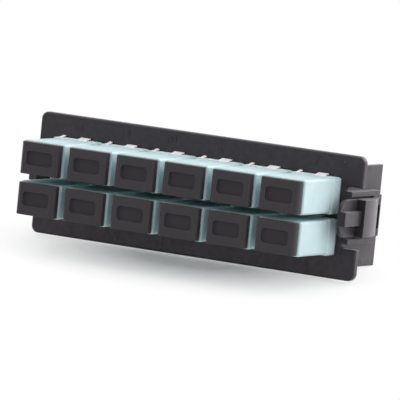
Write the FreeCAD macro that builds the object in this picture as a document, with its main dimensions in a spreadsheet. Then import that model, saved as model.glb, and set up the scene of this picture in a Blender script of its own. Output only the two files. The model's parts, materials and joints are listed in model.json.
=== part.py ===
"""Fibre adapter panel: a snap-in panel with two rows of duplex adapters, dust caps and end latches.

Frame: +X right, -Y to the front, +Z up. The origin is in the middle of the panel's rear seating plane.
Lengths are in millimetres. A distance "ahead" is measured from that plane towards the front.
"""

import FreeCAD, Part
import math
import os
import re
import Sketcher
from FreeCAD import Placement, Rotation, Vector

# Driving dimensions: alias, value, what it is
SIZES = [
    ("panel_width", 100.0, "panel, overall width"),
    ("panel_height", 33.2, "panel, overall height"),
    ("panel_thickness", 2.0, "panel, thickness at the rim"),
    ("panel_corner", 2.0, "panel, radius of the four corners"),
    ("panel_edge", 0.4, "panel, bevel of the front edges"),
    ("seat_relief", 0.3, "panel, depth of the relief behind the adapters"),
    ("seat_band", 2.4, "panel, width of the seating rim above and below the relief"),
    ("column_pitch", 14.7, "distance between adapter columns"),
    ("row_pitch", 11.0, "distance between adapter rows"),
    ("cut_gap", 0.15, "gap round an adapter in its cut-out"),
    ("notch_depth", 4.6, "end notch, depth"),
    ("notch_height", 16.4, "end notch, height"),
    ("notch_corner", 0.6, "end notch, radius of the inner corners"),
    ("wall_thickness", 1.2, "end wall, thickness"),
    ("wall_height", 27.2, "end wall, height"),
    ("wall_depth", 17.7, "end wall, reach behind the seating plane"),
    ("guide_height", 1.85, "guide rib, height on the end wall"),
    ("guide_thickness", 1.4, "guide rib, thickness"),
    ("guide_gap", 0.6, "gap between a guide rib and the latch"),
    ("guide_short", 3.7, "how far the guide ribs stop short of the end wall's rear edge"),
    ("latch_height", 10.0, "latch, height of the thumb plate"),
    ("latch_thickness", 0.9, "latch, thickness of the plate"),
    ("latch_standoff", 1.0, "gap between the latch and the end wall"),
    ("thumb_reach", 5.5, "thumb plate, reach ahead of the panel's face"),
    ("thumb_round", 3.4, "thumb plate, radius of the front corners"),
    ("thumb_rib_height", 1.55, "thumb rib, height on the plate"),
    ("thumb_rib_width", 3.8, "thumb rib, width"),
    ("catch_height", 2.6, "catch, height on the plate"),
    ("catch_setback", 1.2, "catch, distance of its shoulder behind the seating plane"),
    ("catch_flat", 1.0, "catch, length of the flat before the ramp"),
    ("ramp_length", 11.2, "catch, length of the curved ramp"),
    ("ramp_bulge", 0.6, "catch, how far the ramp bows outward"),
    ("slot_length", 6.4, "root slot, length"),
    ("slot_width", 0.8, "root slot, width"),
    ("root_radius", 0.8, "latch root, radius"),
    ("root_inset", 4.1, "latch root, distance of its axis from the end wall's rear edge"),
    ("root_gap", 0.15, "gap between the latch root and its boss"),
    ("body_width", 13.0, "adapter, width of the front half"),
    ("body_height", 9.2, "adapter, height of the front half"),
    ("body_corner", 0.5, "adapter, bevel of the long edges"),
    ("body_edge", 0.35, "adapter, bevel of the front edges"),
    ("front_reach", 21.0, "adapter, distance of the front face ahead of the seating plane"),
    ("front_length", 15.2, "adapter, length of the front half"),
    ("rear_length", 10.8, "adapter, length of the rear half"),
    ("collar_step", 0.3, "rear half, how far it stands proud of the front half"),
    ("shoulder_length", 0.5, "rear half, length of the shoulder at the joint"),
    ("flange_side", 0.4, "flange, overhang at each side of the rear half"),
    ("flange_rise", 0.5, "flange, overhang above and below the rear half"),
    ("flange_thickness", 1.6, "flange, thickness"),
    ("port_pitch", 6.25, "distance between the two ports of an adapter"),
    ("port_size", 4.75, "port, width and height of the square part"),
    ("port_roof", 1.05, "port, wall of the front half above it"),
    ("key_width", 3.3, "port, width of the latch channel"),
    ("key_depth", 2.3, "port, depth of the latch channel"),
    ("bulkhead", 1.6, "rear half, wall across the ports at the joint of the halves"),
    ("path_size", 2.3, "bulkhead, width and height of a ferrule's way through"),
    ("cap_width", 12.1, "dust cap, width"),
    ("cap_height", 8.7, "dust cap, height"),
    ("cap_thickness", 1.9, "dust cap, thickness of the block"),
    ("cap_round", 1.3, "dust cap, radius of the upright front edges"),
    ("cap_gap", 0.2, "gap between the cap and the adapter's face"),
    ("recess_width", 8.0, "cap recess, width"),
    ("recess_height", 3.8, "cap recess, height"),
    ("recess_corner", 0.6, "cap recess, bevel of its corners"),
    ("recess_depth", 0.7, "cap recess, depth"),
    ("prong_gap", 0.15, "gap round a prong in its port"),
    ("prong_length", 8.2, "prong, length behind the cap's block"),
    ("clip_width", 2.8, "retaining clip, width of the strap"),
    ("clip_thickness", 0.3, "retaining clip, thickness"),
    ("clip_sink", 0.05, "depth of the strap below the rear half's surface"),
    ("clip_gap", 0.3, "gap between the clip and the panel's face"),
    ("clip_short", 1.5, "how far the strap's legs stop short of the open side"),
    ("groove_gap", 0.05, "gap beside the strap in its groove"),
    ("tongue_root", 0.5, "clip, width of the strip that carries the tongues"),
    ("tongue_rise", 0.65, "clip, height of a tongue's free end above the strap"),
    ("tongue_slit", 0.15, "clip, slit beside a tongue"),
    ("tongue_width", 3.1, "long tongue, width"),
    ("tongue_middle", 1.65, "long tongue, distance right of the adapter's middle"),
    ("tab_width", 0.95, "short tongue, width"),
    ("tab_middle", 5.1, "short tongue, distance left of the adapter's middle"),
]
ROWS = 2
PORT_SIDES = (-1, 1)

# Lengths that follow from the driving ones
END_FACE = "(panel_width / 2 - notch_depth)"
WALL_INNER = "(" + END_FACE + " - wall_thickness)"
PLATE_INNER = "(" + END_FACE + " + latch_standoff)"
PLATE_OUTER = "(" + PLATE_INNER + " + latch_thickness)"
THUMB_FRONT = "(panel_thickness + thumb_reach)"
ROOT_ACROSS = "(" + PLATE_INNER + " + latch_thickness / 2)"
ROOT_BEHIND = "(wall_depth - root_inset)"
CATCH_OUTER = "(" + PLATE_OUTER + " + catch_height)"
RAMP_START = "(catch_setback + catch_flat)"
RAMP_END = "(" + RAMP_START + " + ramp_length)"
CHANNEL_HALF = "(latch_height / 2 + guide_gap)"
JOINT = "(front_reach - front_length)"
REAR_END = "(" + JOINT + " - rear_length)"
REAR_CAP_SHIFT = "-(front_reach + " + REAR_END + ")"
COLLAR_SIDE = "(body_width / 2 + collar_step)"
COLLAR_TOP = "(body_height / 2 + collar_step)"
FLANGE_EDGE = "(" + COLLAR_SIDE + " + flange_side)"
PORT_TOP = "(body_height / 2 - port_roof)"
PORT_FLOOR = "(" + PORT_TOP + " - port_size)"
CAP_BACK = "(front_reach + cap_gap)"
CAP_FRONT = "(" + CAP_BACK + " + cap_thickness)"
CLIP_REAR = "(panel_thickness + clip_gap)"
CLIP_FRONT = "(" + CLIP_REAR + " + clip_width)"
STRAP_TOP = "(" + COLLAR_TOP + " - clip_sink)"
STRAP_FLOOR = "(" + STRAP_TOP + " - clip_thickness)"
STRAP_SIDE = "(" + COLLAR_SIDE + " - clip_sink)"
STRAP_WEB = "(" + STRAP_SIDE + " - clip_thickness)"

doc = FreeCAD.newDocument("FibreAdapterPanel")
sheet = doc.addObject("Spreadsheet::Sheet", "Sizes")
for line, (alias, size, note) in enumerate(SIZES, start=1):
    sheet.set("A%d" % line, str(size))
    sheet.setAlias("A%d" % line, alias)
    sheet.set("B%d" % line, note)
doc.recompute()


def bound(text):
    """Returns the expression with every word turned into a cell of the sheet."""
    return re.sub(r"[a-z]\w*", r"Sizes.\g<0>", text)


def length(text):
    """Returns an expression's present value."""
    return float(sheet.evalExpression(text))


def fitting_columns():
    """Returns how many columns of adapters fit between the end walls."""
    room = length(WALL_INNER) - length(FLANGE_EDGE)
    return int(2 * room / length("column_pitch")) + 1


COLUMNS = fitting_columns()


def new_sketch(body, name, role, offset="0"):
    """Adds a sketch on one of the body's origin planes, moved along the plane's normal."""
    sketch = body.newObject("Sketcher::SketchObject", name)
    planes = [feature for feature in body.Origin.OriginFeatures if feature.Role == role]
    sketch.AttachmentSupport = [(planes[0], "")]
    sketch.MapMode = "FlatFace"
    sketch.setExpression("AttachmentOffset.Base.z", bound(offset))
    return sketch


def bind(sketch, constraint, text):
    """Adds a dimension to a sketch and binds it to the sheet."""
    index = sketch.addConstraint(constraint)
    sketch.setExpression("Constraints[%d]" % index, bound(text))


def pin(sketch, geometry, end, across, up):
    """Ties one point of a sketch to its two coordinates."""
    bind(sketch, Sketcher.Constraint("DistanceX", -1, 1, geometry, end, length(across)), across)
    bind(sketch, Sketcher.Constraint("DistanceY", -1, 1, geometry, end, length(up)), up)


def corner_arc(here, incoming, outgoing, radius):
    """Returns the tangent length, the arc and its ends' numbers for one rounded corner."""
    back = incoming * -1
    half = back.getAngle(outgoing) / 2
    middle = (back + outgoing).normalize()
    centre = here + middle * (radius / math.sin(half))
    trim = radius / math.tan(half)
    first = here + back * trim - centre
    last = here + outgoing * trim - centre
    left_turn = incoming.cross(outgoing).z > 0
    if not left_turn:
        first, last = last, first
    start = math.atan2(first.y, first.x)
    end = math.atan2(last.y, last.x)
    if end < start:
        end += 2 * math.pi
    circle = Part.Circle(centre, Vector(0, 0, 1), radius)
    ends = (1, 2) if left_turn else (2, 1)
    return trim, Part.ArcOfCircle(circle, start, end), ends


def outline(sketch, corners):
    """Draws a closed outline through its corners, each (across, up) or (across, up, radius)."""
    points = [Vector(length(corner[0]), length(corner[1]), 0) for corner in corners]
    count = len(points)
    ways = [(points[(i + 1) % count] - points[i]).normalize() for i in range(count)]
    trims = [0.0] * count
    arcs = {}
    for i, corner in enumerate(corners):
        if len(corner) == 3:
            trims[i], arc, ends = corner_arc(points[i], ways[i - 1], ways[i], length(corner[2]))
            arcs[i] = (sketch.addGeometry(arc), ends)
    sides = []
    for i in range(count):
        following = (i + 1) % count
        start = points[i] + ways[i] * trims[i]
        end = points[following] - ways[i] * trims[following]
        sides.append(sketch.addGeometry(Part.LineSegment(start, end)))
    for i, corner in enumerate(corners):
        before, after = sides[i - 1], sides[i]
        if i not in arcs:
            sketch.addConstraint(Sketcher.Constraint("Coincident", before, 2, after, 1))
            pin(sketch, after, 1, corner[0], corner[1])
            continue
        arc, (first, last) = arcs[i]
        sketch.addConstraint(Sketcher.Constraint("Tangent", before, 2, arc, first))
        sketch.addConstraint(Sketcher.Constraint("Tangent", arc, last, after, 1))
        bind(sketch, Sketcher.Constraint("Radius", arc, length(corner[2])), corner[2])
        tip = sketch.addGeometry(Part.Point(points[i]), True)
        sketch.addConstraint(Sketcher.Constraint("PointOnObject", tip, 1, before))
        sketch.addConstraint(Sketcher.Constraint("PointOnObject", tip, 1, after))
        pin(sketch, tip, 1, corner[0], corner[1])


def rectangle(sketch, left, right, bottom, top):
    """Draws a rectangle between four bounds."""
    outline(sketch, [(left, bottom), (right, bottom), (right, top), (left, top)])


def bevelled(sketch, width, height, cut):
    """Draws a rectangle round the sketch's origin with its corners cut off."""
    right, top = width + " / 2", height + " / 2"
    upper = [(right, top + " - " + cut), (right + " - " + cut, top)]
    upper += [("-(%s)" % across, up) for across, up in reversed(upper)]
    outline(sketch, upper + [("-(%s)" % across, "-(%s)" % up) for across, up in upper])


def circle(sketch, across, up, diameter):
    """Draws a circle."""
    centre = Vector(length(across), length(up), 0)
    ring = sketch.addGeometry(Part.Circle(centre, Vector(0, 0, 1), length(diameter) / 2))
    bind(sketch, Sketcher.Constraint("Diameter", ring, length(diameter)), diameter)
    pin(sketch, ring, 3, across, up)


def extrude(body, kind, sketch, name, reach, back=False):
    """Pads or pockets a sketch. A pad goes along the sketch's normal and a pocket against it, unless back."""
    feature = body.newObject("PartDesign::" + kind, name)
    feature.Profile = sketch
    feature.setExpression("Length", bound(reach))
    feature.Reversed = back
    sketch.Visibility = False
    return feature


def edges_where(feature, test):
    """Names the edges of a feature whose two ends both pass a test."""
    doc.recompute()
    names = []
    for index, edge in enumerate(feature.Shape.Edges, start=1):
        if all(test(vertex.Point) for vertex in edge.Vertexes):
            names.append("Edge%d" % index)
    return names


def bevel(body, feature, name, test, size):
    """Bevels the edges of a feature whose ends pass a test."""
    result = body.newObject("PartDesign::Chamfer", name)
    result.Base = (feature, edges_where(feature, test))
    result.setExpression("Size", bound(size))


def at_depth(ahead):
    """Returns a test for points at a distance ahead of the seating plane."""
    plane = -length(ahead)
    return lambda point: abs(point.y - plane) < 1e-6


def make_panel():
    """The moulded panel with its cut-outs, end notches, end walls, guide ribs and latch roots."""
    body = doc.addObject("PartDesign::Body", "panel")
    half_width, half_height = "panel_width / 2", "panel_height / 2"
    half_notch = "notch_height / 2"
    right_end = [
        (half_width, "-" + half_height, "panel_corner"),
        (half_width, "-" + half_notch),
        (END_FACE, "-" + half_notch, "notch_corner"),
        (END_FACE, half_notch, "notch_corner"),
        (half_width, half_notch),
        (half_width, half_height, "panel_corner")]
    left_end = [("-" + corner[0],) + corner[1:] for corner in reversed(right_end)]
    face = new_sketch(body, "face_outline", "XZ_Plane")
    outline(face, right_end + left_end)
    plate = extrude(body, "Pad", face, "plate", "panel_thickness")
    bevel(body, plate, "front_edges", at_depth("panel_thickness"), "panel_edge")

    relief_top = "(panel_height / 2 - seat_band)"
    relief = new_sketch(body, "relief_outline", "XZ_Plane")
    rectangle(relief, "-" + WALL_INNER, WALL_INNER, "-" + relief_top, relief_top)
    extrude(body, "Pocket", relief, "relief", "seat_relief", back=True)

    first_column = "column_pitch * %g" % ((COLUMNS - 1) / 2)
    first_row = "row_pitch * %g" % ((ROWS - 1) / 2)
    opening_side = "(" + COLLAR_SIDE + " + cut_gap)"
    opening_top = "(" + COLLAR_TOP + " + cut_gap)"
    opening = new_sketch(body, "opening_outline", "XZ_Plane")
    rectangle(opening, "-" + first_column + " - " + opening_side, "-" + first_column + " + " + opening_side,
              "-" + first_row + " - " + opening_top, "-" + first_row + " + " + opening_top)
    first_opening = extrude(body, "Pocket", opening, "first_opening", "panel_thickness", back=True)
    openings = body.newObject("PartDesign::LinearPattern", "openings")
    openings.Originals = [first_opening]
    openings.Direction = (opening, ["H_Axis"])
    openings.setExpression("Length", bound("column_pitch * %d" % (COLUMNS - 1)))
    openings.Occurrences = COLUMNS
    openings.Direction2 = (opening, ["V_Axis"])
    openings.setExpression("Length2", bound("row_pitch * %d" % (ROWS - 1)))
    openings.Occurrences2 = ROWS
    body.Tip = openings

    wall = new_sketch(body, "wall_outline", "XZ_Plane")
    rectangle(wall, WALL_INNER, END_FACE, "-wall_height / 2", "wall_height / 2")
    end_wall = extrude(body, "Pad", wall, "end_wall", "wall_depth", back=True)

    guide = new_sketch(body, "guide_outline", "XZ_Plane", "panel_thickness")
    guide_top = CHANNEL_HALF + " + guide_thickness"
    for low, high in ((CHANNEL_HALF, guide_top), ("-(%s)" % guide_top, "-" + CHANNEL_HALF)):
        rectangle(guide, END_FACE, END_FACE + " + guide_height", low, high)
    guide_length = "panel_thickness + wall_depth - guide_short"
    guides = extrude(body, "Pad", guide, "guide_ribs", guide_length, back=True)

    boss = new_sketch(body, "boss_outline", "XZ_Plane", "-(%s - root_radius)" % ROOT_BEHIND)
    rectangle(boss, END_FACE, ROOT_ACROSS + " - root_radius - root_gap", "-" + CHANNEL_HALF, CHANNEL_HALF)
    root_boss = extrude(body, "Pad", boss, "root_boss", "root_radius + root_inset", back=True)

    mirrored = body.newObject("PartDesign::Mirrored", "left_end")
    mirrored.Originals = [end_wall, guides, root_boss]
    mirrored.MirrorPlane = (wall, ["V_Axis"])
    body.Tip = mirrored
    return body


def make_latch():
    """The right-hand latch: thumb plate, rib, catch with a curved ramp, and the root that bends."""
    body = doc.addObject("PartDesign::Body", "latch_right")
    half = "latch_height / 2"
    plate = new_sketch(body, "plate_outline", "YZ_Plane", PLATE_INNER)
    outline(plate, [
        (ROOT_BEHIND, "-" + half),
        (ROOT_BEHIND, half),
        ("-" + THUMB_FRONT, half, "thumb_round"),
        ("-" + THUMB_FRONT, "-" + half, "thumb_round")])
    extrude(body, "Pad", plate, "thumb_plate", "latch_thickness")

    root = new_sketch(body, "root_outline", "XY_Plane", "-" + half)
    circle(root, ROOT_ACROSS, ROOT_BEHIND, "root_radius * 2")
    extrude(body, "Pad", root, "root", "latch_height")

    catch = new_sketch(body, "catch_outline", "XY_Plane", "-" + half)
    corners = [
        (PLATE_INNER, "catch_setback"),
        (CATCH_OUTER, "catch_setback"),
        (CATCH_OUTER, RAMP_START),
        (PLATE_OUTER, RAMP_END),
        (PLATE_INNER, RAMP_END)]
    draw_catch(catch, corners)
    extrude(body, "Pad", catch, "catch", "latch_height")

    rib = new_sketch(body, "rib_outline", "XY_Plane", "-thumb_rib_width / 2")
    rectangle(rib, PLATE_INNER, PLATE_OUTER + " + thumb_rib_height", "-" + THUMB_FRONT, RAMP_START)
    extrude(body, "Pad", rib, "thumb_rib", "thumb_rib_width")

    slot = new_sketch(body, "slot_outline", "YZ_Plane", CATCH_OUTER)
    rectangle(slot, RAMP_END + " - slot_width / 2", RAMP_END + " + slot_width / 2",
              "-slot_length / 2", "slot_length / 2")
    extrude(body, "Pocket", slot, "root_slot", "%s - %s + root_radius" % (CATCH_OUTER, PLATE_INNER))
    return body


def draw_catch(sketch, corners):
    """Draws the catch in plan: straight sides, with an arc bowed outward for the ramp."""
    points = [Vector(length(across), length(up), 0) for across, up in corners]
    count = len(points)
    ramp = 2
    chord_squared = "(catch_height ^ 2 + ramp_length ^ 2)"
    radius = "(" + chord_squared + " / 4 + ramp_bulge ^ 2) / (2 * ramp_bulge)"
    sides = []
    for i in range(count):
        start, end = points[i], points[(i + 1) % count]
        side = Part.LineSegment(start, end)
        if i == ramp:
            along = (end - start).normalize()
            outward = Vector(along.y, -along.x, 0)
            crown = (start + end) * 0.5 + outward * length("ramp_bulge")
            side = Part.Arc(start, crown, end)
        sides.append(sketch.addGeometry(side))
    for i in range(count):
        sketch.addConstraint(Sketcher.Constraint("Coincident", sides[i - 1], 2, sides[i], 1))
        pin(sketch, sides[i], 1, corners[i][0], corners[i][1])
    bind(sketch, Sketcher.Constraint("Radius", sides[ramp], length(radius)), radius)


def draw_ports(sketch):
    """Draws the two ports of an adapter: a square with a channel for the plug's latch below it."""
    for side in PORT_SIDES:
        middle = "port_pitch * %g" % (side / 2)
        square_left, square_right = middle + " - port_size / 2", middle + " + port_size / 2"
        key_left, key_right = middle + " - key_width / 2", middle + " + key_width / 2"
        key_floor = PORT_FLOOR + " - key_depth"
        outline(sketch, [
            (key_left, key_floor), (key_right, key_floor), (key_right, PORT_FLOOR),
            (square_right, PORT_FLOOR), (square_right, PORT_TOP), (square_left, PORT_TOP),
            (square_left, PORT_FLOOR), (key_left, PORT_FLOOR)])


def make_adapter_front():
    """The front half of an adapter housing."""
    body = doc.addObject("PartDesign::Body", "adapter_front_form")
    section = new_sketch(body, "section", "XZ_Plane", JOINT)
    bevelled(section, "body_width", "body_height", "body_corner")
    block = extrude(body, "Pad", section, "block", "front_length")
    bevel(body, block, "front_edges", at_depth("front_reach"), "body_edge")
    ports = new_sketch(body, "port_outline", "XZ_Plane", "front_reach")
    draw_ports(ports)
    extrude(body, "Pocket", ports, "ports", "front_length")
    return body


def make_adapter_rear():
    """The rear half of an adapter housing, with its shoulder, its flange and the groove of its clip."""
    body = doc.addObject("PartDesign::Body", "adapter_rear_form")
    shoulder_end = "(" + JOINT + " - shoulder_length)"
    joint = new_sketch(body, "joint_section", "XZ_Plane", JOINT)
    bevelled(joint, "body_width", "body_height", "body_corner")
    collar = new_sketch(body, "collar_section", "XZ_Plane", shoulder_end)
    bevelled(collar, "(%s * 2)" % COLLAR_SIDE, "(%s * 2)" % COLLAR_TOP, "body_corner")
    shoulder = body.newObject("PartDesign::AdditiveLoft", "shoulder")
    shoulder.Profile = joint
    shoulder.Sections = [collar]
    shoulder.Ruled = True

    section = new_sketch(body, "section", "XZ_Plane", shoulder_end)
    bevelled(section, "(%s * 2)" % COLLAR_SIDE, "(%s * 2)" % COLLAR_TOP, "body_corner")
    extrude(body, "Pad", section, "block", "rear_length - shoulder_length", back=True)

    flange = new_sketch(body, "flange_outline", "XZ_Plane", "seat_relief")
    flange_width = "(%s * 2)" % FLANGE_EDGE
    flange_height = "(%s * 2 + flange_rise * 2)" % COLLAR_TOP
    bevelled(flange, flange_width, flange_height, "body_corner")
    extrude(body, "Pad", flange, "flange", "flange_thickness", back=True)

    ports = new_sketch(body, "port_outline", "XZ_Plane", REAR_END)
    draw_ports(ports)
    extrude(body, "Pocket", ports, "ports", "rear_length - bulkhead", back=True)
    paths = new_sketch(body, "path_outline", "XZ_Plane", JOINT)
    path_level = PORT_FLOOR + " + port_size / 2"
    for side in PORT_SIDES:
        middle = "port_pitch * %g" % (side / 2)
        rectangle(paths, middle + " - path_size / 2", middle + " + path_size / 2",
                  path_level + " - path_size / 2", path_level + " + path_size / 2")
    extrude(body, "Pocket", paths, "ferrule_ways", "bulkhead")

    groove = new_sketch(body, "groove_outline", "XZ_Plane", CLIP_FRONT + " + groove_gap")
    open_side = COLLAR_SIDE + " - clip_short + groove_gap"
    draw_strap(groove, COLLAR_SIDE + " + clip_thickness", COLLAR_TOP + " + clip_thickness", open_side)
    extrude(body, "Pocket", groove, "clip_groove", "clip_width + 2 * groove_gap")
    return body


def draw_strap(sketch, side, top, open_side):
    """Draws a C open to the right: its inner faces are the clip's, its outer ones as given."""
    outline(sketch, [
        (open_side, top), ("-(%s)" % side, top), ("-(%s)" % side, "-(%s)" % top), (open_side, "-(%s)" % top),
        (open_side, "-" + STRAP_FLOOR), ("-" + STRAP_WEB, "-" + STRAP_FLOOR), ("-" + STRAP_WEB, STRAP_FLOOR),
        (open_side, STRAP_FLOOR)])


def add_tongue(body, name, middle, width, upper):
    """Cuts a tongue free in one leg of the clip and bends it away from the adapter."""
    left, right = middle + " - (%s) / 2" % width, middle + " + (%s) / 2" % width
    slot = new_sketch(body, name + "_slot_outline", "XY_Plane", STRAP_TOP if upper else "-" + STRAP_FLOOR)
    strip = "-(" + CLIP_FRONT + " - tongue_root)"
    rectangle(slot, left + " - tongue_slit", right + " + tongue_slit", strip, "-" + CLIP_REAR)
    extrude(body, "Pocket", slot, name + "_slot", "clip_thickness")

    profile = new_sketch(body, name + "_profile", "YZ_Plane", left)
    start = "-(" + CLIP_FRONT + " - tongue_root / 2)"
    end = "-" + CLIP_REAR
    if upper:
        outline(profile, [
            (start, STRAP_FLOOR), (end, STRAP_FLOOR + " + tongue_rise"),
            (end, STRAP_TOP + " + tongue_rise"), (start, STRAP_TOP)])
    else:
        outline(profile, [
            (start, "-" + STRAP_TOP), (end, "-" + STRAP_TOP + " - tongue_rise"),
            (end, "-" + STRAP_FLOOR + " - tongue_rise"), (start, "-" + STRAP_FLOOR)])
    extrude(body, "Pad", profile, name, width)


def make_clip():
    """The stainless clip: a C-shaped strap with spring tongues that bear on the panel's face."""
    body = doc.addObject("PartDesign::Body", "clip_form")
    strap = new_sketch(body, "strap_outline", "XZ_Plane", CLIP_FRONT)
    draw_strap(strap, STRAP_SIDE, STRAP_TOP, COLLAR_SIDE + " - clip_short")
    extrude(body, "Pad", strap, "strap", "clip_width", back=True)
    add_tongue(body, "upper_tongue", "tongue_middle", "tongue_width", upper=True)
    add_tongue(body, "upper_tab", "-tab_middle", "tab_width", upper=True)
    add_tongue(body, "lower_tongue", "-tongue_middle", "tongue_width", upper=False)
    return body


def make_cap():
    """The duplex dust cap: a block with a recess in its face and two prongs behind."""
    body = doc.addObject("PartDesign::Body", "cap_form")
    block = new_sketch(body, "block_outline", "XY_Plane", "-cap_height / 2")
    half = "cap_width / 2"
    outline(block, [
        ("-" + half, "-" + CAP_FRONT, "cap_round"), (half, "-" + CAP_FRONT, "cap_round"),
        (half, "-" + CAP_BACK), ("-" + half, "-" + CAP_BACK)])
    extrude(body, "Pad", block, "block", "cap_height")

    recess = new_sketch(body, "recess_outline", "XZ_Plane", CAP_FRONT)
    bevelled(recess, "recess_width", "recess_height", "recess_corner")
    extrude(body, "Pocket", recess, "recess", "recess_depth")

    prong = new_sketch(body, "prong_outline", "XZ_Plane", CAP_BACK)
    for side in PORT_SIDES:
        middle = "port_pitch * %g" % (side / 2)
        reach = "(port_size / 2 - prong_gap)"
        rectangle(prong, middle + " - " + reach, middle + " + " + reach,
                  PORT_FLOOR + " + prong_gap", PORT_TOP + " - prong_gap")
    extrude(body, "Pad", prong, "prongs", "prong_length", back=True)
    return body


def copy_of(form, name, across="0", along="0", up="0", turn=None):
    """Adds a body derived from another one, at its own place."""
    copy = doc.addObject("PartDesign::Body", name)
    copy.BaseFeature = form
    copy.Placement = Placement(Vector(), turn or Rotation())
    copy.setExpression("Placement.Base.x", bound(across))
    copy.setExpression("Placement.Base.y", bound(along))
    copy.setExpression("Placement.Base.z", bound(up))
    return copy


def group_of(name, members):
    """Gathers identical pieces in one object."""
    group = doc.addObject("Part::Compound", name)
    group.Links = members
    return group


def build():
    """Builds every piece and returns the ones to write."""
    panel = make_panel()
    latch_right = make_latch()
    latch_left = copy_of(latch_right, "latch_left", turn=Rotation(Vector(0, 1, 0), 180))
    front, rear, cap = make_adapter_front(), make_adapter_rear(), make_cap()
    clip = make_clip()
    about_face = Rotation(Vector(0, 0, 1), 180)
    pieces = [panel, latch_right, latch_left]
    clips = []
    for row in range(ROWS):
        for column in range(COLUMNS):
            number = "%02d" % ((ROWS - row) * COLUMNS - column)
            across = "column_pitch * %g" % (column - (COLUMNS - 1) / 2)
            up = "row_pitch * %g" % ((ROWS - 1) / 2 - row)
            pieces.append(copy_of(front, "adapter_front_" + number, across, up=up))
            pieces.append(copy_of(rear, "adapter_rear_" + number, across, up=up))
            pieces.append(copy_of(cap, "front_cap_" + number, across, up=up))
            pieces.append(copy_of(cap, "rear_cap_" + number, across, REAR_CAP_SHIFT, up, about_face))
            clips.append(copy_of(clip, "clip_" + number, across, up=up))
    pieces.append(group_of("retaining_clips", clips))
    doc.recompute()
    return pieces


def check(pieces):
    """Stops if any object failed or any piece has no sound shape."""
    for thing in doc.Objects:
        if "Invalid" in thing.State or "Error" in thing.State:
            raise RuntimeError("%s failed: %s" % (thing.Label, thing.State))
    for piece in pieces:
        if piece.Shape.isNull() or not piece.Shape.isValid() or not piece.Shape.Solids:
            raise RuntimeError("%s has no sound shape" % piece.Label)


def write(pieces):
    """Writes each piece to a file of its own."""
    os.makedirs("parts", exist_ok=True)
    for piece in pieces:
        piece.Shape.exportStep(os.path.join("parts", piece.Label + ".step"))


finished = build()
check(finished)
write(finished)
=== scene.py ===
"""Looks of the fibre adapter panel: a moulded panel, its latches, twelve adapters, dust caps and clips.

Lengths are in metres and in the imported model's frame: +X to the right, -Y to the front, +Z up.
"""

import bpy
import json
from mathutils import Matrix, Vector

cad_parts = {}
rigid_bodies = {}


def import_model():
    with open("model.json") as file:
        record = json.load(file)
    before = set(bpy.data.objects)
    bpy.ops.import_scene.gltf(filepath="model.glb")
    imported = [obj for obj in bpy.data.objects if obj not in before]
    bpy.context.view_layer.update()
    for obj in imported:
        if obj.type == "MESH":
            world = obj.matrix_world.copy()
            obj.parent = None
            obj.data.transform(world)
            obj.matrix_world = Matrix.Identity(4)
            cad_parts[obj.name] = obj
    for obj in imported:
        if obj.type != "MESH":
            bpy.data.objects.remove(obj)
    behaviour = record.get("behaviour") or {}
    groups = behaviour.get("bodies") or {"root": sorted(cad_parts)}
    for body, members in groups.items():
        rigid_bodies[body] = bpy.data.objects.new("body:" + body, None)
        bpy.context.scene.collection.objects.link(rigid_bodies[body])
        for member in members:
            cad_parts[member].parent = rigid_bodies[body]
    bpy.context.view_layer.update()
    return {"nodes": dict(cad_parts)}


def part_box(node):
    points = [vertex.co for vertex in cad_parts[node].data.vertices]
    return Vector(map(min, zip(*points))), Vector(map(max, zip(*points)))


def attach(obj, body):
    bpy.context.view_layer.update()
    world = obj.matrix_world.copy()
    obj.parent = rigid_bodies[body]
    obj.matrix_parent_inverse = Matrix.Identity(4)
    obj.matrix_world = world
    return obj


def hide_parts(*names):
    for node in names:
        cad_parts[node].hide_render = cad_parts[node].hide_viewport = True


bl_info = {
    "name": "Fibre Adapter Panel",
    "version": (1, 0, 0),
    "blender": (4, 5, 0),
    "location": "View3D > Sidebar > Adapter Panel",
    "description": "Finishes the pieces of a fibre adapter panel and sets up its stage",
    "category": "Object",
}

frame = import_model()

import json
import math

import bpy
from bpy.props import FloatProperty, FloatVectorProperty, IntProperty, PointerProperty
from mathutils import Quaternion, Vector

NODES = frame["nodes"]
FRONT_FACE_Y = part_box("panel")[0].y

# Ports 1 to 6 are in the lower row and 7 to 12 in the upper one
PORT_NUMBERS = range(1, 13)
COLUMNS = 6

# How the loose triangles of a CAD node become a clean mesh with rounded edges
MERGE_DISTANCE = 1e-6
SHARP_ANGLE = math.radians(32)
SMOOTH_ANGLE = math.radians(40)
CLIP_EDGE_STEPS = 2

# A face looks along an axis where its normal has at least this share along it
FACING = 0.9

# Shapes of the small details, as shares of their own sizes
DIGIT_SHARE = 0.7
PIP_FLATNESS = 0.6
MARK_RIM = 0.22
MARK_DISH = 0.8

# Finishes of the black plastics
PANEL_FINISH = {"roughness": 0.44, "rub": 0.5, "grain": 3600.0, "level": 0.46, "haze": 0.48}
CAP_FINISH = {"roughness": 0.46, "rub": 0.6, "grain": 3000.0, "level": 0.42}
RECESS_FINISH = {"roughness": 0.54, "rub": 0.2, "grain": 2200.0, "level": 0.36}
# The recess floors are coloured this much darker than the caps: painted shade
RECESS_PAINTED_SHADE = 0.7

# Bend of the surface at which an outer edge begins, where 0.5 is flat
EDGE_BEND = 0.52

# Softboxes: name, direction from the object, distance, side and the setting with the level
SOFTBOXES = (
    ("key_softbox", Vector((0.88, 0.08, 0.46)), 0.85, 1.2, "key_level"),
    ("top_softbox", Vector((0.0, 0.10, 1.0)), 0.90, 1.5, "top_level"),
    ("fill_softbox", Vector((-0.8, -0.5, 0.4)), 0.90, 0.7, "fill_level"),
    ("back_softbox", Vector((0.40, 0.85, 0.33)), 0.95, 1.2, "back_level"),
)


def length(name, description, default):
    """A length in metres that a user can change."""
    return FloatProperty(name=name, description=description, default=default, precision=5,
                         subtype="DISTANCE", unit="LENGTH")


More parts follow.
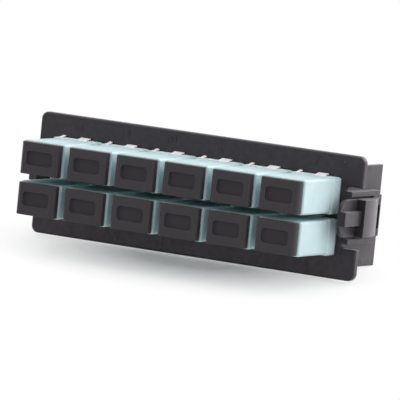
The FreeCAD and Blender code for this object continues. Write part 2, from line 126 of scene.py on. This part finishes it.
def colour(name, description, default):
    """A colour that a user can change."""
    return FloatVectorProperty(name=name, description=description, default=default, size=3,
                               min=0.0, max=1.0, subtype="COLOR")


def turn(name, description, degrees):
    """An angle that a user can change."""
    return FloatProperty(name=name, description=description, default=math.radians(degrees),
                         subtype="ANGLE", unit="ROTATION")


def amount(name, description, default, low=0.0, high=100.0):
    """A plain number that a user can change."""
    return FloatProperty(name=name, description=description, default=default, min=low, max=high)


class PanelFinishSettings(bpy.types.PropertyGroup):
    panel_black: colour("Panel", "Colour of the panel and its latches", (0.0040, 0.0030, 0.0042))
    cap_black: colour("Dust caps", "Colour of the dust caps", (0.0285, 0.0255, 0.0288))
    adapter_aqua: colour("Adapters", "Colour of the adapter housings", (0.585, 0.75, 0.78))
    clip_steel: colour("Clips", "Colour of the spring clips", (0.90, 0.90, 0.91))


class PanelEdgeSettings(bpy.types.PropertyGroup):
    panel_edge: length("Panel edge", "Rounding of the panel's moulded edges", 0.00016)
    latch_edge: length("Latch edge", "Rounding of the latches' edges", 0.00014)
    adapter_edge: length("Adapter edge", "Rounding of the adapters' edges", 0.00016)
    cap_edge: length("Cap edge", "Rounding of the dust caps' edges", 0.00020)
    clip_edge: length("Clip edge", "Rounding of the clips' cut edges", 0.00005)
    edge_steps: IntProperty(name="Edge steps", description="Faces across each rounded edge",
                            default=3, min=1)


class PanelDetailSettings(bpy.types.PropertyGroup):
    numeral_height: length("Numeral height", "Height of the moulded port numbers", 0.0026)
    numeral_relief: length("Numeral relief", "How far the port numbers stand out", 0.00009)
    numeral_drop: length("Numeral distance", "From an adapter's middle to its port number", 0.0084)
    numeral_shift: length("Numeral shift", "From an adapter's middle left to its port number", 0.0010)
    pip_radius: length("Pip radius", "Radius of the moulded pip in the corner", 0.0004)
    pip_inset: length("Pip inset", "From the panel's right edge to the pip", 0.00555)
    pip_drop: length("Pip drop", "From the panel's top edge to the pip", 0.0021)
    wall_face: length("End wall", "From the panel's middle to an end wall's outside", 0.0454)
    mark_radius: length("Ejector radius", "Radius of the ejector marks on the end walls", 0.00062)
    mark_relief: length("Ejector relief", "How far an ejector mark stands out", 0.00005)
    mark_setback: length("Ejector setback", "From the seating plane back to the marks", 0.0098)
    mark_level: length("Ejector level", "From the panel's middle up or down to a mark", 0.0124)
    recess_depth: length("Recess depth", "Depth of the recess in a dust cap's face", 0.0007)


class PanelStageSettings(bpy.types.PropertyGroup):
    lean: turn("Lean", "How far the panel leans back on the floor", 11.7)
    floor_size: length("Floor size", "Side of the floor", 2.4)
    floor_white: colour("Floor", "Colour of the floor", (0.86, 0.86, 0.86))
    floor_glow: amount("Floor glow", "How much the floor is lifted towards white", 0.16, high=1.0)
    fade_start: length("Fade start", "Distance at which the floor begins to turn white", 0.007)
    fade_end: length("Fade end", "Distance at which the floor is white", 0.030)
    fade_squeeze: amount("Fade squeeze", "How much the distance along the panel counts", 0.45, high=1.0)
    camera_azimuth: turn("Camera azimuth", "Camera's turn to the right of the front", 29.236)
    camera_elevation: turn("Camera elevation", "Camera's height angle", 5.34)
    camera_roll: turn("Camera roll", "Camera's turn about its own axis", 5.614)
    camera_distance: length("Camera distance", "From the aim point to the camera", 1.4735)
    camera_lens: amount("Lens", "Focal length in millimetres", 495.0, low=1.0, high=5000.0)
    camera_aim: FloatVectorProperty(name="Aim", description="Point in the middle of the view", size=3,
                                    default=(0.000616, 0.0, -0.001289),
                                    subtype="TRANSLATION", unit="LENGTH")
    sky_level: amount("Sky", "Level of the light from all round", 0.24)
    key_level: amount("Key", "Level of the softbox on the right", 1.0)
    top_level: amount("Top", "Level of the softbox overhead", 1.15)
    fill_level: amount("Fill", "Level of the weak light from the left", 0.3)
    back_level: amount("Back", "Level of the wide softbox behind", 1.9)


def only(obj):
    """Selects one object, makes it active and leaves everything else deselected."""
    bpy.ops.object.select_all(action="DESELECT")
    obj.select_set(True)
    bpy.context.view_layer.objects.active = obj


def named(name):
    """Names the active object and its mesh."""
    piece = bpy.context.object
    piece.name = name
    piece.data.name = name
    return piece


def merged_copy(node, name):
    """A copy of a CAD node whose loose triangles are merged at their corners."""
    only(NODES[node])
    bpy.ops.object.duplicate()
    piece = named(name)
    # The copy is no CAD node, so it drops what marks one
    for key in list(piece.keys()):
        del piece[key]
    bpy.ops.object.parent_clear(type="CLEAR_KEEP_TRANSFORM")
    bpy.ops.mesh.customdata_custom_splitnormals_clear()
    bpy.ops.object.mode_set(mode="EDIT")
    bpy.ops.mesh.select_all(action="SELECT")
    bpy.ops.mesh.remove_doubles(threshold=MERGE_DISTANCE)
    bpy.ops.object.mode_set(mode="OBJECT")
    return piece


def apply_modifier(piece, kind, **values):
    """Adds a modifier with these values to a piece and applies it."""
    only(piece)
    modifier = piece.modifiers.new(kind.lower(), kind)
    for key, value in values.items():
        setattr(modifier, key, value)
    bpy.ops.object.modifier_apply(modifier=modifier.name)


def round_edges(piece, width, steps):
    """Rounds a piece's sharp edges and shades it so that flat faces stay flat."""
    apply_modifier(piece, "BEVEL", width=width, segments=steps, limit_method="ANGLE",
                   angle_limit=SHARP_ANGLE, use_clamp_overlap=False, loop_slide=False)
    only(piece)
    bpy.ops.object.shade_smooth_by_angle(angle=SMOOTH_ANGLE)
    apply_modifier(piece, "WEIGHTED_NORMAL", keep_sharp=True)


def copied(piece, name, offset):
    """A copy of a finished piece with a mesh of its own, moved by an offset."""
    only(piece)
    bpy.ops.object.duplicate()
    copy = named(name)
    bpy.ops.transform.translate(value=offset)
    bpy.ops.object.transform_apply(location=True, rotation=True, scale=True)
    return copy


def dressed(piece, material, body, node=None):
    """Gives a piece its material and its body, and hides the CAD node that it stands for."""
    piece.data.materials.clear()
    piece.data.materials.append(material)
    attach(piece, body)
    if node:
        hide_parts(node)


def centre(node):
    """Middle of a CAD node's box."""
    low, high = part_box(node)
    return (low + high) / 2


def node_name(kind, number):
    """Name of the CAD node of one port's adapter half or cap."""
    return "%s_%02d" % (kind, number)


def finish_repeated(kind, material, width, steps, body_of):
    """Finishes the first of twelve like nodes and copies it to the places of the others."""
    first = node_name(kind, PORT_NUMBERS[0])
    home = centre(first)
    master = merged_copy(first, first + "_finished")
    round_edges(master, width, steps)
    pieces = {first: master}
    for number in PORT_NUMBERS[1:]:
        node = node_name(kind, number)
        pieces[node] = copied(master, node + "_finished", centre(node) - home)
    for node, piece in pieces.items():
        dressed(piece, material, body_of(node), node)
    return pieces


class Shader:
    """A node tree with short calls to add and join its nodes."""

    NODE_STEP = 200

    def __init__(self, tree):
        self.tree = tree
        self.column = 0

    def node(self, kind, inputs=None, **values):
        """Adds a node. Inputs are values, or sockets to link from."""
        made = self.tree.nodes.new(kind)
        made.location = (self.column * self.NODE_STEP, 0)
        self.column += 1
        for key, value in values.items():
            setattr(made, key, value)
        for key, value in (inputs or {}).items():
            self.feed(made.inputs[key], value)
        return made

    def feed(self, socket, value):
        """Links a socket to another one, or sets its value."""
        if isinstance(value, bpy.types.NodeSocket):
            self.tree.links.new(value, socket)
        else:
            socket.default_value = value

    def math(self, operation, first, second):
        """Result of one step of arithmetic."""
        return self.node("ShaderNodeMath", {0: first, 1: second}, operation=operation).outputs[0]

    def spread(self, value, low, high, to_low=0.0, to_high=1.0):
        """A value's range stretched to another range and held there."""
        inputs = {"Value": value, "From Min": low, "From Max": high, "To Min": to_low, "To Max": to_high}
        return self.node("ShaderNodeMapRange", inputs, clamp=True).outputs["Result"]

    def mix(self, factor, first, second):
        """Mix of two colours. The node's sockets for colours have the numbers 0, 6, 7 and 2."""
        made = self.node("ShaderNodeMix", data_type="RGBA")
        self.feed(made.inputs[0], factor)
        self.feed(made.inputs[6], first)
        self.feed(made.inputs[7], second)
        return made.outputs[2]

    def noise(self, place, scale, detail, roughness=0.5):
        """Noise between 0 and 1."""
        inputs = {"Vector": place, "Scale": scale, "Detail": detail, "Roughness": roughness}
        return self.node("ShaderNodeTexNoise", inputs).outputs["Fac"]

    def place(self):
        """Object coordinates."""
        return self.node("ShaderNodeTexCoord").outputs["Object"]

    def stretched(self, scale):
        """Object coordinates, stretched."""
        inputs = {"Vector": self.place(), "Scale": scale}
        return self.node("ShaderNodeMapping", inputs).outputs["Vector"]

    def bumped(self, height, strength, distance):
        """Normal of a surface with a fine relief."""
        inputs = {"Height": height, "Strength": strength, "Distance": distance}
        return self.node("ShaderNodeBump", inputs).outputs["Normal"]

    def blend(self, factor, first, second):
        """Mix of two shaders."""
        return self.node("ShaderNodeMixShader", {0: factor, 1: first, 2: second}).outputs[0]

    def group(self, tree, **values):
        """Places a shared node group with its own values."""
        made = self.node("ShaderNodeGroup", node_tree=tree)
        for key, value in values.items():
            made.inputs[key.replace("_", " ").capitalize()].default_value = value
        return made.outputs


def new_group(name, inputs, outputs):
    """An empty shader node group with these value sockets, with what it is given and what it puts out."""
    tree = bpy.data.node_groups.new(name, "ShaderNodeTree")
    for label, default in inputs.items():
        socket = tree.interface.new_socket(label, in_out="INPUT", socket_type="NodeSocketFloat")
        socket.default_value = default
    for label in outputs:
        tree.interface.new_socket(label, in_out="OUTPUT", socket_type="NodeSocketFloat")
    shader = Shader(tree)
    return shader, shader.node("NodeGroupInput").outputs, shader.node("NodeGroupOutput").inputs


def shared_group(name, build):
    """A node group by its name, built the first time it is asked for."""
    return bpy.data.node_groups.get(name) or build(name)


def build_moulded_grain(name):
    """Fine spark-eroded grain and slow clouds of a moulded surface."""
    inputs = {"Grain scale": 4000.0, "Cloud scale": 120.0}
    shader, given, result = new_group(name, inputs, ["Height", "Cloud"])
    place = shader.place()
    fine = shader.noise(place, given["Grain scale"], detail=3.0, roughness=0.6)
    cells = shader.node("ShaderNodeTexVoronoi", {"Vector": place, "Scale": given["Grain scale"]})
    pits = shader.math("MULTIPLY", cells.outputs["Distance"], 0.4)
    shader.feed(result["Height"], shader.math("ADD", fine, pits))
    cloud = shader.noise(place, given["Cloud scale"], detail=4.0, roughness=0.55)
    shader.feed(result["Cloud"], shader.spread(cloud, low=0.3, high=0.7))
    return shader.tree


def build_edge_rub(name):
    """Mask of the outer edges that hands and tools have rubbed."""
    shader, given, result = new_group(name, {"Reach": 0.08, "Break scale": 700.0}, ["Mask"])
    bend = shader.node("ShaderNodeNewGeometry").outputs["Pointiness"]
    edge = shader.spread(bend, EDGE_BEND, shader.math("ADD", given["Reach"], EDGE_BEND))
    patches = shader.noise(shader.place(), given["Break scale"], detail=4.0, roughness=0.65)
    broken = shader.spread(patches, low=0.35, high=0.65)
    shader.feed(result["Mask"], shader.math("MULTIPLY", edge, broken))
    return shader.tree


def build_hairlines(name):
    """Mask of faint hairline scuffs that run two ways."""
    shader, given, result = new_group(name, {"Scale": 260.0}, ["Mask"])
    along = shader.noise(shader.stretched((1.0, 1.0, 14.0)), given["Scale"], detail=2.0)
    across = shader.noise(shader.stretched((12.0, 3.0, 1.5)), given["Scale"], detail=2.0)
    both = shader.math("MULTIPLY", along, across)
    shader.feed(result["Mask"], shader.spread(both, low=0.30, high=0.42))
    return shader.tree


def build_rolled_lines(name):
    """Height of the fine lines that rolling leaves along sheet metal."""
    shader, given, result = new_group(name, {"Scale": 900.0}, ["Height"])
    along = shader.stretched((0.12, 1.0, 3.0))
    shader.feed(result["Height"], shader.noise(along, given["Scale"], detail=3.0, roughness=0.6))
    return shader.tree


def moulded_grain():
    return shared_group("moulded_grain", build_moulded_grain)


def edge_rub():
    return shared_group("edge_rub", build_edge_rub)


def hairlines():
    return shared_group("hairlines", build_hairlines)


def rolled_lines():
    return shared_group("rolled_lines", build_rolled_lines)


def new_material(name, base, **constants):
    """A material with a Principled BSDF, its fixed values set on the shader's own sockets."""
    material = bpy.data.materials.new(name)
    material.use_nodes = True
    material.diffuse_color = (*base, 1.0)
    shader = Shader(material.node_tree)
    principled = material.node_tree.nodes["Principled BSDF"]
    for key, value in constants.items():
        principled.inputs[key.replace("_", " ")].default_value = value
    return material, shader, principled.inputs


def tinted(base, factor, lift=0.0):
    """A colour made lighter or darker, with an even lift."""
    return tuple(min(1.0, c * factor + lift) for c in base) + (1.0,)


def black_plastic(name, base, roughness, rub, grain, level, haze=0.0):
    """Black moulded plastic: grained, a little cloudy, paler and smoother where its edges are rubbed."""
    material, shader, sockets = new_material(
        name, base, Specular_IOR_Level=level, IOR=1.5, Specular_Tint=(0.98, 0.90, 1.0, 1.0),
        Sheen_Weight=haze, Sheen_Roughness=0.4, Sheen_Tint=(1.0, 0.93, 1.0, 1.0))
    mould = shader.group(moulded_grain(), grain_scale=grain, cloud_scale=140.0)
    worn = shader.group(edge_rub(), reach=0.10, break_scale=600.0)["Mask"]
    scuffs = shader.group(hairlines(), scale=240.0)["Mask"]
    clouded = shader.mix(mould["Cloud"], tinted(base, 0.93), tinted(base, 1.07))
    scuffed = shader.mix(shader.math("MULTIPLY", scuffs, 0.25), clouded, tinted(base, 1.25, lift=0.004))
    rubbed = shader.mix(shader.math("MULTIPLY", worn, rub), scuffed, tinted(base, 1.5, lift=0.02))
    shader.feed(sockets["Base Color"], rubbed)
    cloudy = shader.spread(mould["Cloud"], 0.0, 1.0, to_low=roughness - 0.015, to_high=roughness + 0.02)
    polish = shader.math("MULTIPLY", worn, 0.10)
    shader.feed(sockets["Roughness"], shader.math("SUBTRACT", cloudy, polish))
    shader.feed(sockets["Normal"], shader.bumped(mould["Height"], strength=0.22, distance=0.00004))
    return material


def aqua_plastic(base):
    """Aqua moulded plastic: smooth, slightly cloudy, paler along its edges."""
    material, shader, sockets = new_material(
        "adapter_plastic", base, Specular_IOR_Level=0.38, IOR=1.49, Coat_Weight=0.02, Coat_Roughness=0.35)
    mould = shader.group(moulded_grain(), grain_scale=5200.0, cloud_scale=210.0)
    worn = shader.group(edge_rub(), reach=0.12, break_scale=420.0)["Mask"]
    clouded = shader.mix(mould["Cloud"], tinted(base, 0.955), tinted(base, 1.03))
    rubbed = shader.mix(shader.math("MULTIPLY", worn, 0.35), clouded, tinted(base, 1.0, lift=0.10))
    shader.feed(sockets["Base Color"], rubbed)
    shader.feed(sockets["Roughness"], shader.spread(mould["Cloud"], 0.0, 1.0, to_low=0.42, to_high=0.52))
    shader.feed(sockets["Normal"], shader.bumped(mould["Height"], strength=0.12, distance=0.00003))
    return material


def spring_steel(base):
    """Stainless spring strip with faint rolling lines."""
    material, shader, sockets = new_material("spring_steel", base, Metallic=1.0)
    lines = shader.group(rolled_lines(), scale=900.0)["Height"]
    worn = shader.group(edge_rub(), reach=0.10, break_scale=900.0)["Mask"]
    rolled = shader.mix(lines, tinted(base, 0.86), tinted(base, 1.08))
    rubbed = shader.mix(shader.math("MULTIPLY", worn, 0.5), rolled, tinted(base, 1.2))
    shader.feed(sockets["Base Color"], rubbed)
    shader.feed(sockets["Roughness"], shader.spread(lines, 0.2, 0.8, to_low=0.62, to_high=0.76))
    shader.feed(sockets["Normal"], shader.bumped(lines, strength=0.25, distance=0.00002))
    return material


def panel_material():
    """The panel's plastic, shared by the panel and its latches."""
    name = "panel_plastic"
    base = tuple(bpy.context.scene.panel_finish.panel_black)
    return bpy.data.materials.get(name) or black_plastic(name, base, **PANEL_FINISH)


def select_faces(piece, wanted):
    """Selects the faces of a mesh whose normal passes a test, and leaves it in edit mode."""
    bpy.ops.object.mode_set(mode="OBJECT")
    for part in (piece.data.vertices, piece.data.edges, piece.data.polygons):
        part.foreach_set("select", [False] * len(part))
    for face in piece.data.polygons:
        face.select = wanted(face.normal)
    bpy.ops.object.mode_set(mode="EDIT")
    bpy.ops.mesh.select_mode(type="FACE")


def join_pieces(pieces, name):
    """Joins several meshes into one named piece."""
    bpy.ops.object.select_all(action="DESELECT")
    for piece in pieces:
        piece.select_set(True)
    bpy.context.view_layer.objects.active = pieces[0]
    bpy.ops.object.join()
    return named(name)


def moulded_numeral(number, settings):
    """One port number in low relief, standing on its head on the panel's front face."""
    row = 1 if number > COLUMNS else -1
    adapter = centre(node_name("adapter_front", number))
    place = (adapter.x - settings.numeral_shift, FRONT_FACE_Y, adapter.z + row * settings.numeral_drop)
    bpy.ops.object.select_all(action="DESELECT")
    bpy.ops.object.text_add(location=place, rotation=(-math.pi / 2, 0, math.pi))
    text = bpy.context.object
    text.data.body = str(number)
    text.data.size = settings.numeral_height / DIGIT_SHARE
    text.data.align_x = "CENTER"
    text.data.align_y = "CENTER"
    text.data.extrude = settings.numeral_relief
    text.data.resolution_u = 4
    bpy.ops.object.convert(target="MESH")
    bpy.ops.object.transform_apply(location=True, rotation=True, scale=True)
    return named("numeral_%02d" % number)


def corner_pip(x, z, settings):
    """A low moulded dome on the panel's front face."""
    foot = (x, FRONT_FACE_Y, z)
    bpy.ops.object.select_all(action="DESELECT")
    bpy.ops.mesh.primitive_uv_sphere_add(segments=24, ring_count=12, radius=settings.pip_radius,
                                         location=foot)
    pip = named("corner_pip")
    bpy.ops.object.transform_apply(location=True, rotation=True, scale=True)
    bpy.ops.object.mode_set(mode="EDIT")
    bpy.ops.mesh.select_all(action="SELECT")
    bpy.ops.mesh.bisect(plane_co=foot, plane_no=(0, 1, 0), clear_outer=True, use_fill=True)
    bpy.ops.mesh.select_all(action="SELECT")
    bpy.ops.transform.resize(value=(1.0, PIP_FLATNESS, 1.0), center_override=foot)
    bpy.ops.object.mode_set(mode="OBJECT")
    bpy.ops.object.shade_smooth_by_angle(angle=SMOOTH_ANGLE)
    return pip


def ejector_mark(side, place, settings):
    """A round ejector mark on an end wall: a low disc with a dished middle."""
    bpy.ops.object.select_all(action="DESELECT")
    bpy.ops.mesh.primitive_cylinder_add(vertices=32, radius=settings.mark_radius,
                                        depth=2 * settings.mark_relief,
                                        location=place, rotation=(0, math.pi / 2, 0))
    mark = named("ejector_mark")
    bpy.ops.object.transform_apply(location=True, rotation=True, scale=True)
    select_faces(mark, lambda normal: normal.x * side > FACING)
    bpy.ops.mesh.inset(thickness=settings.mark_radius * MARK_RIM)
    bpy.ops.transform.translate(value=(-side * settings.mark_relief * MARK_DISH, 0, 0))
    bpy.ops.object.mode_set(mode="OBJECT")
    bpy.ops.object.shade_smooth_by_angle(angle=SMOOTH_ANGLE)
    return mark


class ADAPTERPANEL_OT_panel(bpy.types.Operator):
    """Rounds the panel's edges and adds its port numbers, pip and ejector marks"""
    bl_idname = "adapter_panel.panel"
    bl_label = "Panel"

    def execute(self, context):
        edges = context.scene.panel_edges
        details = context.scene.panel_details
        material = panel_material()
        panel = merged_copy("panel", "panel_finished")
        round_edges(panel, edges.panel_edge, edges.edge_steps)
        dressed(panel, material, "panel", "panel")
        numerals = join_pieces([moulded_numeral(n, details) for n in PORT_NUMBERS], "port_numerals")
        dressed(numerals, material, "panel")
        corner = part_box("panel")[1]
        pip = corner_pip(corner.x - details.pip_inset, corner.z - details.pip_drop, details)
        dressed(pip, material, "panel")
        marks = [ejector_mark(side, (side * details.wall_face, details.mark_setback, level), details)
                 for side in (1, -1) for level in (details.mark_level, -details.mark_level)]
        dressed(join_pieces(marks, "ejector_marks"), material, "panel")
        return {"FINISHED"}


class ADAPTERPANEL_OT_latches(bpy.types.Operator):
    """Rounds the edges of the two thumb latches"""
    bl_idname = "adapter_panel.latches"
    bl_label = "Latches"

    def execute(self, context):
        edges = context.scene.panel_edges
        for node in ("latch_right", "latch_left"):
            latch = merged_copy(node, node + "_finished")
            round_edges(latch, edges.latch_edge, edges.edge_steps)
            dressed(latch, panel_material(), node, node)
        return {"FINISHED"}


class ADAPTERPANEL_OT_adapters(bpy.types.Operator):
    """Rounds the edges of the adapters' front and rear halves"""
    bl_idname = "adapter_panel.adapters"
    bl_label = "Adapters"

    def execute(self, context):
        edges = context.scene.panel_edges
        material = aqua_plastic(tuple(context.scene.panel_finish.adapter_aqua))
        for kind in ("adapter_front", "adapter_rear"):
            finish_repeated(kind, material, edges.adapter_edge, edges.edge_steps,
                            lambda node: "panel")
        return {"FINISHED"}


def line_recess(cap, node, material, depth):
    """Gives the floor of a cap's recess its own coarser finish, with a darker colour that is painted shade.
    """
    low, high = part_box(node)
    floor = low.y + depth if node.startswith("front") else high.y - depth
    cap.data.materials.append(material)
    for face in cap.data.polygons:
        if abs(face.center.y - floor) < depth / 4 and abs(face.normal.y) > FACING:
            face.material_index = 1


class ADAPTERPANEL_OT_caps(bpy.types.Operator):
    """Rounds the edges of the front and rear dust caps and finishes their recesses, coloured darker as
    painted shade
    """
    bl_idname = "adapter_panel.caps"
    bl_label = "Dust caps"

    def execute(self, context):
        edges = context.scene.panel_edges
        depth = context.scene.panel_details.recess_depth
        base = tuple(context.scene.panel_finish.cap_black)
        material = black_plastic("cap_plastic", base, **CAP_FINISH)
        # The recess floors get a rougher finish and a darker colour, which is painted shade
        eroded_with_painted_shade = black_plastic("recess_plastic_painted_shade", tuple(RECESS_PAINTED_SHADE * c for c in base), **RECESS_FINISH)
        for kind in ("front_cap", "rear_cap"):
            caps = finish_repeated(kind, material, edges.cap_edge, edges.edge_steps,
                                   lambda node: node)
            for node, cap in caps.items():
                line_recess(cap, node, eroded_with_painted_shade, depth)
        return {"FINISHED"}


class ADAPTERPANEL_OT_clips(bpy.types.Operator):
    """Softens the cut edges of the spring clips"""
    bl_idname = "adapter_panel.clips"
    bl_label = "Spring clips"

    def execute(self, context):
        edges = context.scene.panel_edges
        clips = merged_copy("retaining_clips", "retaining_clips_finished")
        round_edges(clips, edges.clip_edge, CLIP_EDGE_STEPS)
        material = spring_steel(tuple(context.scene.panel_finish.clip_steel))
        dressed(clips, material, "panel", "retaining_clips")
        return {"FINISHED"}


def floor_material(settings):
    """White that keeps the shadow near the panel, turns plain white further off and is clear from below."""
    material = bpy.data.materials.new("floor_white")
    material.use_nodes = True
    material.node_tree.nodes.clear()
    shader = Shader(material.node_tree)
    path = shader.node("ShaderNodeLightPath").outputs
    seen = shader.math("MAXIMUM", path["Is Camera Ray"], path["Is Glossy Ray"])
    lift = shader.math("MULTIPLY", seen, settings.floor_glow)
    glow = shader.node("ShaderNodeEmission", {"Strength": lift}).outputs[0]
    matte = shader.node("ShaderNodeBsdfDiffuse", {"Color": (*settings.floor_white, 1.0)}).outputs[0]
    near = shader.node("ShaderNodeAddShader", {0: matte, 1: glow}).outputs[0]
    far = shader.node("ShaderNodeEmission", {"Strength": 1.0}).outputs[0]
    flat = shader.stretched((settings.fade_squeeze, 1.0, 0.0))
    away = shader.node("ShaderNodeVectorMath", {0: flat}, operation="LENGTH").outputs["Value"]
    faded = shader.math("MULTIPLY", path["Is Camera Ray"],
                        shader.spread(away, settings.fade_start, settings.fade_end))
    clear = shader.node("ShaderNodeBsdfTransparent").outputs[0]
    back = shader.node("ShaderNodeNewGeometry").outputs["Backfacing"]
    surface = shader.blend(back, shader.blend(faded, near, far), clear)
    shader.node("ShaderNodeOutputMaterial", {"Surface": surface})
    return material


def stage_floor(settings, up):
    """A pale floor that touches the lowest corner of the leaning panel."""
    low = min(up.dot(vertex.co) for vertex in NODES["panel"].data.vertices)
    bpy.ops.object.select_all(action="DESELECT")
    bpy.ops.mesh.primitive_plane_add(size=settings.floor_size, location=up * low,
                                     rotation=(settings.lean, 0, 0))
    floor = named("floor")
    bpy.ops.object.transform_apply(location=True, rotation=True, scale=True)
    floor.data.materials.append(floor_material(settings))


def stage_world(settings):
    """White all round for the camera and for reflections, and an even soft light for the rest."""
    world = bpy.data.worlds.new("studio")
    world.use_nodes = True
    bpy.context.scene.world = world
    shader = Shader(world.node_tree)
    world.node_tree.nodes.clear()
    path = shader.node("ShaderNodeLightPath").outputs
    mirror = shader.math("MAXIMUM", path["Is Glossy Ray"], path["Is Transmission Ray"])
    seen = shader.math("MAXIMUM", path["Is Camera Ray"], mirror)
    white = (1.0, 1.0, 1.0, 1.0)
    soft = shader.node("ShaderNodeBackground", {"Color": white, "Strength": settings.sky_level}).outputs[0]
    plain = shader.node("ShaderNodeBackground", {"Color": white, "Strength": 1.0}).outputs[0]
    shader.node("ShaderNodeOutputWorld", {"Surface": shader.blend(seen, soft, plain)})


def softbox(name, direction, distance, side, level):
    """A square soft light that faces the object. Its level is its brightness."""
    bpy.ops.object.select_all(action="DESELECT")
    bpy.ops.object.light_add(type="AREA", location=direction.normalized() * distance)
    lamp = bpy.context.object
    lamp.name = name
    lamp.rotation_euler = direction.to_track_quat("Z", "Y").to_euler()
    lamp.data.size = side
    lamp.data.energy = level * math.pi * side * side
    lamp.visible_camera = False


def stage_camera(settings):
    """The camera at the photograph's place."""
    flat = math.cos(settings.camera_elevation)
    back = Vector((flat * math.sin(settings.camera_azimuth),
                   -flat * math.cos(settings.camera_azimuth),
                   math.sin(settings.camera_elevation)))
    turned = (-back).to_track_quat("-Z", "Y") @ Quaternion((0, 0, 1), settings.camera_roll)
    bpy.ops.object.select_all(action="DESELECT")
    bpy.ops.object.camera_add(location=Vector(settings.camera_aim) + back * settings.camera_distance,
                              rotation=turned.to_euler())
    camera = bpy.context.object
    camera.data.lens = settings.camera_lens
    camera.data.clip_end = 10.0
    bpy.context.scene.camera = camera


class ADAPTERPANEL_OT_stage(bpy.types.Operator):
    """Sets up the floor, the light and the camera"""
    bl_idname = "adapter_panel.stage"
    bl_label = "Stage"

    def execute(self, context):
        settings = context.scene.panel_stage
        up = Vector((0, -math.sin(settings.lean), math.cos(settings.lean)))
        stage_floor(settings, up)
        stage_world(settings)
        for name, direction, distance, side, level in SOFTBOXES:
            softbox(name, direction, distance, side, getattr(settings, level))
        stage_camera(settings)
        context.scene.view_settings.view_transform = "Standard"
        return {"FINISHED"}


class ADAPTERPANEL_PT_sidebar(bpy.types.Panel):
    """Lists the pieces of the adapter panel"""
    bl_idname = "ADAPTERPANEL_PT_sidebar"
    bl_label = "Adapter Panel"
    bl_space_type = "VIEW_3D"
    bl_region_type = "UI"
    bl_category = "Adapter Panel"

    def draw(self, context):
        for operator in OPERATORS:
            self.layout.operator(operator.bl_idname)
        for group in SETTINGS:
            settings = getattr(context.scene, group)
            for key in SETTINGS[group].__annotations__:
                self.layout.prop(settings, key)


SETTINGS = {
    "panel_finish": PanelFinishSettings,
    "panel_edges": PanelEdgeSettings,
    "panel_details": PanelDetailSettings,
    "panel_stage": PanelStageSettings,
}

OPERATORS = (
    ADAPTERPANEL_OT_panel,
    ADAPTERPANEL_OT_latches,
    ADAPTERPANEL_OT_adapters,
    ADAPTERPANEL_OT_caps,
    ADAPTERPANEL_OT_clips,
    ADAPTERPANEL_OT_stage,
)

CLASSES = (*SETTINGS.values(), *OPERATORS, ADAPTERPANEL_PT_sidebar)


def register():
    for each in CLASSES:
        bpy.utils.register_class(each)
    for name, group in SETTINGS.items():
        setattr(bpy.types.Scene, name, PointerProperty(type=group))


def unregister():
    for name in SETTINGS:
        delattr(bpy.types.Scene, name)
    for each in reversed(CLASSES):
        bpy.utils.unregister_class(each)


def main():
    register()
    bpy.ops.adapter_panel.panel()
    bpy.ops.adapter_panel.latches()
    bpy.ops.adapter_panel.adapters()
    bpy.ops.adapter_panel.caps()
    bpy.ops.adapter_panel.clips()
    bpy.ops.adapter_panel.stage()


if __name__ == "__main__":
    main()
